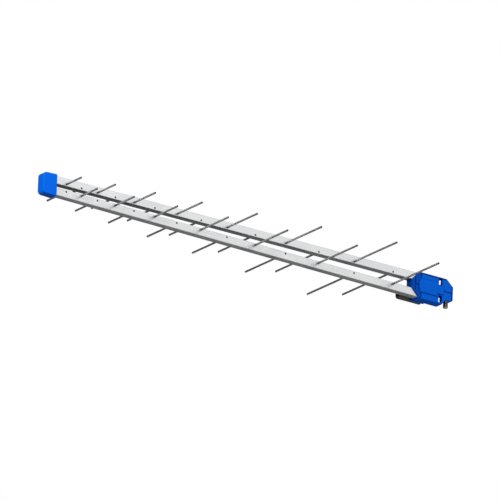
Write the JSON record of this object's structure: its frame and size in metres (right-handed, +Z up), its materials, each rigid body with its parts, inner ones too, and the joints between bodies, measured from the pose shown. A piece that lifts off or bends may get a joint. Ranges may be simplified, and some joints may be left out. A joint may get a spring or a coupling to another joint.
{
  "type": "uhf antenna",
  "caption": "Log-periodic UHF television antenna: twin square booms with alternating rod dipoles, a blue front cap and a blue rear housing with a coaxial socket and a mast seat.",
  "frame": {"origin": "middle of the flat in the mast seat, on the right side of the rear housing's tail", "axes": "+X is the direction the antenna points, from the rear housing to the front cap; +Y is its left side, away from the mast; +Z is up, with the coaxial socket pointing down"},
  "size_m": [0.9217, 0.3108, 0.0553],
  "materials": {
    "boom_metal": "mill finish, satin, faint draw lines",
    "rod_metal": "satin, darker than the booms",
    "blue_plastic": "moulded, semi-gloss",
    "dark_sleeve": "fine matt",
    "socket_plating": "bright plated, threaded",
    "white_insulator": "moulded",
    "contact_metal": "plated",
    "board_laminate": "laminate",
    "cable_jacket": "smooth jacket",
    "copper_core": "bare wire",
    "plug_metal": "sawn and drilled",
    "tinned_metal": "tinned",
    "screw_steel": "zinc plated"
  },
  "bodies": {
    "root": {"upper_boom": "boom_metal", "lower_boom": "boom_metal", "element_01_left": "rod_metal", "element_01_right": "rod_metal", "element_02_left": "rod_metal", "element_02_right": "rod_metal", "element_03_left": "rod_metal", "element_03_right": "rod_metal", "element_04_left": "rod_metal", "element_04_right": "rod_metal", "element_05_left": "rod_metal", "element_05_right": "rod_metal", "element_06_left": "rod_metal", "element_06_right": "rod_metal", "element_07_left": "rod_metal", "element_07_right": "rod_metal", "element_08_left": "rod_metal", "element_08_right": "rod_metal", "element_09_left": "rod_metal", "element_09_right": "rod_metal", "element_10_left": "rod_metal", "element_10_right": "rod_metal", "element_11_left": "rod_metal", "element_11_right": "rod_metal", "element_12_left": "rod_metal", "element_12_right": "rod_metal", "element_13_left": "rod_metal", "element_13_right": "rod_metal", "element_14_left": "rod_metal", "element_14_right": "rod_metal", "front_cap": "blue_plastic", "housing_left_shell": "blue_plastic", "housing_right_shell": "blue_plastic", "housing_screws": "screw_steel", "cable_sleeve": "dark_sleeve", "socket_body": "socket_plating", "socket_insulator": "white_insulator", "socket_contact": "contact_metal", "terminal_board": "board_laminate", "feed_cable": "cable_jacket", "feed_core_rear": "copper_core", "feed_core_front": "copper_core", "upper_end_plug": "plug_metal", "lower_end_plug": "plug_metal", "core_lug": "tinned_metal", "braid_lug": "tinned_metal", "feed_screws": "screw_steel", "shorting_clip": "tinned_metal"}
  },
  "joints": []
}
